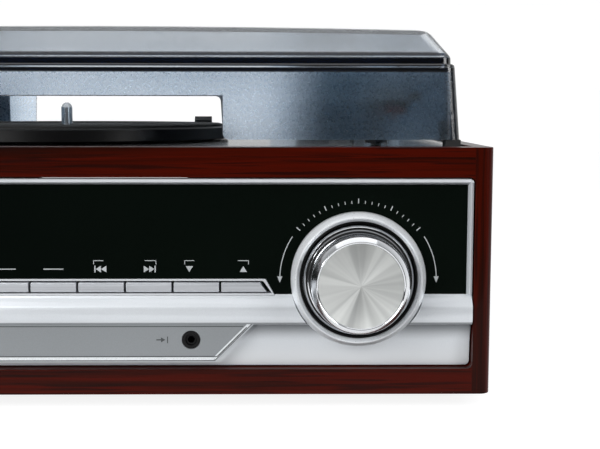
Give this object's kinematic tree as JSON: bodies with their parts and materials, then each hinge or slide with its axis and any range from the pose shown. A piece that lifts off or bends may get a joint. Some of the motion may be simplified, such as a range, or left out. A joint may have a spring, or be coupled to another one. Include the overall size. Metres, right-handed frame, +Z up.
{
  "type": "stereo music centre",
  "caption": "Wooden-cased stereo music centre with belt-driven record deck, smoked hinged lid, silver fascia, push buttons and a large rotary volume knob.",
  "frame": {"origin": "middle of the whole object's bounding box, on the surface that the feet stand on", "axes": "+X to the right as seen from the front, -Y towards the viewer, +Z up"},
  "size_m": [0.4192, 0.3516, 0.197],
  "materials": {
    "mahogany": "high-gloss dark red mahogany veneer",
    "dark_board": "dark painted board",
    "foot_rubber": "matt black rubber",
    "screw_steel": "zinc-plated steel",
    "fascia_silver": "fine metallic silver lacquer on moulded plastic",
    "window_black": "high-gloss black acrylic",
    "trim_silver": "satin silver",
    "ring_silver": "satin silver",
    "knob_metal": "polished rim, spun face",
    "button_silver": "semi-gloss silver",
    "steel": "bright steel",
    "inner_plastic": "black moulded plastic",
    "lcd": "dark liquid-crystal module",
    "circuit_board": "green solder mask",
    "socket_black": "black moulded plastic",
    "line_metal": "nickel-plated sockets",
    "grille_black": "black moulded grille",
    "speaker_frame": "black painted steel",
    "cone_paper": "black paper cone",
    "heat_sink_metal": "extruded aluminium",
    "transformer_iron": "laminated iron and wound bobbin",
    "deck_black": "gloss black plastic",
    "platter_black": "black moulded platter",
    "mat_rubber": "ribbed black rubber",
    "brass": "turned brass",
    "motor_metal": "plated steel can",
    "belt_rubber": "black rubber belt",
    "arm_metal": "satin aluminium",
    "stylus_red": "red moulded cartridge and stylus",
    "lid_smoke": "smoked blue-grey translucent moulding",
    "buffer_rubber": "black rubber"
  },
  "bodies": {
    "cabinet": {"front_frame": "mahogany", "left_side_board": "mahogany", "right_side_board": "mahogany", "back_board": "dark_board", "base_board": "dark_board", "rubber_feet": "foot_rubber", "screws": "screw_steel", "fascia": "fascia_silver", "display_window": "window_black", "button_surround": "trim_silver", "volume_ring": "ring_silver", "encoder_body": "inner_plastic", "lcd_module": "lcd", "control_board": "circuit_board", "key_switches": "inner_plastic", "front_jacks": "socket_black", "speaker_grilles": "grille_black", "speakers": "speaker_frame", "speaker_cones": "cone_paper", "main_board": "circuit_board", "heat_sink": "heat_sink_metal", "power_transformer": "transformer_iron", "rear_panel": "socket_black", "line_out_jacks": "line_metal", "mains_inlet": "socket_black", "deck_plate": "deck_black", "spindle": "steel", "motor": "motor_metal", "drive_belt": "belt_rubber", "tonearm_base": "deck_black", "arm_rest": "deck_black", "hinge_brackets": "steel"},
    "volume_press": {"encoder_plunger": "inner_plastic"},
    "volume_turn": {"volume_knob": "knob_metal", "encoder_shaft": "steel"},
    "button_function": {"button_function": "button_silver"},
    "button_band": {"button_band": "button_silver"},
    "button_memory": {"button_memory": "button_silver"},
    "button_stereo": {"button_stereo": "button_silver"},
    "button_tuning_down": {"button_tuning_down": "button_silver"},
    "button_tuning_up": {"button_tuning_up": "button_silver"},
    "button_preset_down": {"button_preset_down": "button_silver"},
    "button_preset_up": {"button_preset_up": "button_silver"},
    "platter": {"platter": "platter_black", "platter_mat": "mat_rubber", "platter_bush": "brass"},
    "motor_pulley": {"motor_pulley": "brass"},
    "arm_swing": {"tonearm_yoke": "arm_metal"},
    "arm": {"tonearm_tube": "arm_metal", "headshell": "deck_black", "stylus": "stylus_red", "counterweight": "arm_metal"},
    "arm_clip": {"arm_clip": "arm_metal"},
    "cue_lever": {"cue_lever": "deck_black"},
    "cue_platform": {"cue_platform": "deck_black"},
    "speed_lever": {"speed_lever": "deck_black"},
    "adapter": {"adapter_45": "deck_black"},
    "lid": {"lid": "lid_smoke", "lid_buffers": "buffer_rubber", "hinge_leaves": "steel"}
  },
  "joints": [
    {"name": "lid_open", "type": "hinge", "parent": "cabinet", "child": "lid", "pos_m": [0, 0.17055, 0.1318], "axis": [-1, 0, 0], "range_deg": [0, 75]},
    {"name": "platter_spin", "type": "hinge", "parent": "cabinet", "child": "platter", "pos_m": [-0.036, 0.00675, 0.1425], "axis": [0, 0, 1], "continuous": true},
    {"name": "motor_spin", "type": "hinge", "parent": "cabinet", "child": "motor_pulley", "pos_m": [-0.10645, -0.04258, 0.136], "axis": [0, 0, 1], "continuous": true},
    {"name": "arm_swing", "type": "hinge", "parent": "cabinet", "child": "arm_swing", "pos_m": [0.15, 0.11675, 0.1595], "axis": [0, 0, -1], "range_deg": [0, 47]},
    {"name": "arm_lift", "type": "hinge", "parent": "arm_swing", "child": "arm", "pos_m": [0.15, 0.11675, 0.1595], "axis": [-0.9982, -0.0593, 0], "range_deg": [0, 5]},
    {"name": "clip_close", "type": "hinge", "parent": "cabinet", "child": "arm_clip", "pos_m": [0.16648, -0.03254, 0.1532], "axis": [0.0593, -0.9982, 0], "range_deg": [0, 60]},
    {"name": "cue_turn", "type": "hinge", "parent": "cabinet", "child": "cue_lever", "pos_m": [0.174, 0.07075, 0.141], "axis": [0, 0, -1], "range_deg": [0, 60]},
    {"name": "cue_raise", "type": "slide", "parent": "cabinet", "child": "cue_platform", "axis": [0, 0, 1], "range_m": [0, 0.0018]},
    {"name": "speed_slide", "type": "slide", "parent": "cabinet", "child": "speed_lever", "axis": [1, 0, 0], "range_m": [0, 0.012]},
    {"name": "adapter_lift", "type": "slide", "parent": "cabinet", "child": "adapter", "axis": [0, 0, 1], "range_m": [0, 0.03]},
    {"name": "volume_press", "type": "slide", "parent": "cabinet", "child": "volume_press", "axis": [0, 1, 0], "range_m": [0, 0.0012], "stiffness_N_per_m": 600},
    {"name": "volume_turn", "type": "hinge", "parent": "volume_press", "child": "volume_turn", "pos_m": [0.1406, -0.15325, 0.067], "axis": [0, -1, 0], "continuous": true},
    {"name": "function_press", "type": "slide", "parent": "cabinet", "child": "button_function", "axis": [0, 1, 0], "range_m": [0, 0.001], "stiffness_N_per_m": 500},
    {"name": "band_press", "type": "slide", "parent": "cabinet", "child": "button_band", "axis": [0, 1, 0], "range_m": [0, 0.001], "stiffness_N_per_m": 500},
    {"name": "memory_press", "type": "slide", "parent": "cabinet", "child": "button_memory", "axis": [0, 1, 0], "range_m": [0, 0.001], "stiffness_N_per_m": 500},
    {"name": "stereo_press", "type": "slide", "parent": "cabinet", "child": "button_stereo", "axis": [0, 1, 0], "range_m": [0, 0.001], "stiffness_N_per_m": 500},
    {"name": "tuning_down_press", "type": "slide", "parent": "cabinet", "child": "button_tuning_down", "axis": [0, 1, 0], "range_m": [0, 0.001], "stiffness_N_per_m": 500},
    {"name": "tuning_up_press", "type": "slide", "parent": "cabinet", "child": "button_tuning_up", "axis": [0, 1, 0], "range_m": [0, 0.001], "stiffness_N_per_m": 500},
    {"name": "preset_down_press", "type": "slide", "parent": "cabinet", "child": "button_preset_down", "axis": [0, 1, 0], "range_m": [0, 0.001], "stiffness_N_per_m": 500},
    {"name": "preset_up_press", "type": "slide", "parent": "cabinet", "child": "button_preset_up", "axis": [0, 1, 0], "range_m": [0, 0.001], "stiffness_N_per_m": 500}
  ],
  "couplings": [
    {"joint": "motor_spin", "follows": "platter_spin", "ratio": 13.455},
    {"joint": "cue_turn", "follows": "cue_raise", "rad_per_m": 581.19}
  ]
}
